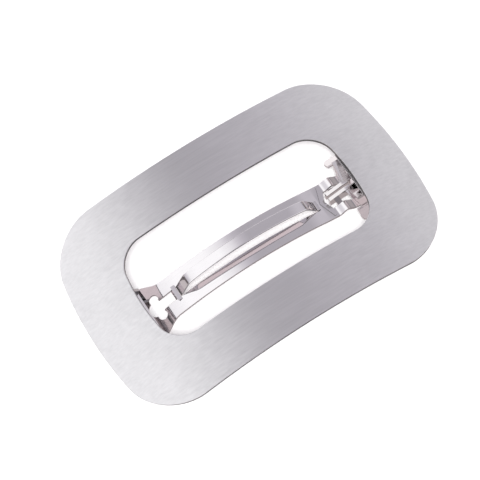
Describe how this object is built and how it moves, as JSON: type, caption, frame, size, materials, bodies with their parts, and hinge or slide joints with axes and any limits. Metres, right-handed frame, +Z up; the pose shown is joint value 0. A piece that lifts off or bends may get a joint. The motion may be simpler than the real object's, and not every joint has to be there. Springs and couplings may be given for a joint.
{
  "type": "hair barrette",
  "caption": "Open rectangular hair barrette: a brushed, arched metal frame over a polished snap clasp with a hinged arm, a bow spring and a pinch-to-open latch.",
  "frame": {"origin": "middle of the clip in plan, at the lowest face, on which the closed clip stands with its show face up", "axes": "+X along the clip from the hinge end to the latch end, +Y across it, +Z up out of the show face"},
  "size_m": [0.0842, 0.0524, 0.0139],
  "materials": {
    "brushed_plate": "satin, brushed along the length",
    "polished_steel": "polished nickel plate",
    "spring_steel": "bright spring steel",
    "bracket_steel": "plain plated steel",
    "solder": "matte tin solder"
  },
  "bodies": {
    "frame": {"frame_plate": "brushed_plate", "hinge_solder": "solder", "hinge_base": "bracket_steel", "hinge_pin": "bracket_steel", "latch_solder": "solder", "latch_base": "bracket_steel", "latch_rivet": "bracket_steel", "pinch_spring_plate": "spring_steel"},
    "arm": {"latch_arm": "polished_steel", "bow_foot": "polished_steel"},
    "bow_root": {"bow_root_half": "polished_steel"},
    "bow_tail": {"bow_toe_half": "polished_steel"},
    "bow_slider": {"bow_toe": "polished_steel"},
    "finger_left": {"pinch_finger_left": "spring_steel"},
    "finger_right": {"pinch_finger_right": "spring_steel"}
  },
  "joints": [
    {"name": "arm_hinge", "type": "hinge", "parent": "frame", "child": "arm", "pos_m": [-0.0325, 0, 0.0053], "axis": [0, 1, 0], "range_deg": [0, 110]},
    {"name": "bow_flex", "type": "hinge", "parent": "arm", "child": "bow_root", "pos_m": [0.0182, 0, 0.0032], "axis": [0, -1, 0], "range_deg": [0, 7], "stiffness_Nm_per_rad": 0.1},
    {"name": "bow_crown", "type": "hinge", "parent": "bow_root", "child": "bow_tail", "pos_m": [-0.0006, 0, 0.0106], "axis": [0, 1, 0], "range_deg": [0, 14]},
    {"name": "toe_slide", "type": "slide", "parent": "arm", "child": "bow_slider", "axis": [-1, 0, 0], "range_m": [0, 0.0016]},
    {"name": "pinch_left", "type": "hinge", "parent": "frame", "child": "finger_left", "pos_m": [0.0275, 0.0053, 0.0076], "axis": [-1, 0, 0], "range_deg": [0, 4.5], "stiffness_Nm_per_rad": 0.02},
    {"name": "pinch_right", "type": "hinge", "parent": "frame", "child": "finger_right", "pos_m": [0.0275, -0.0053, 0.0076], "axis": [1, 0, 0], "range_deg": [0, 4.5], "stiffness_Nm_per_rad": 0.02}
  ],
  "couplings": [
    {"joint": "bow_crown", "follows": "bow_flex", "ratio": 2},
    {"joint": "toe_slide", "follows": "bow_flex", "m_per_rad": 0.0128},
    {"joint": "pinch_right", "follows": "pinch_left", "ratio": 1}
  ]
}
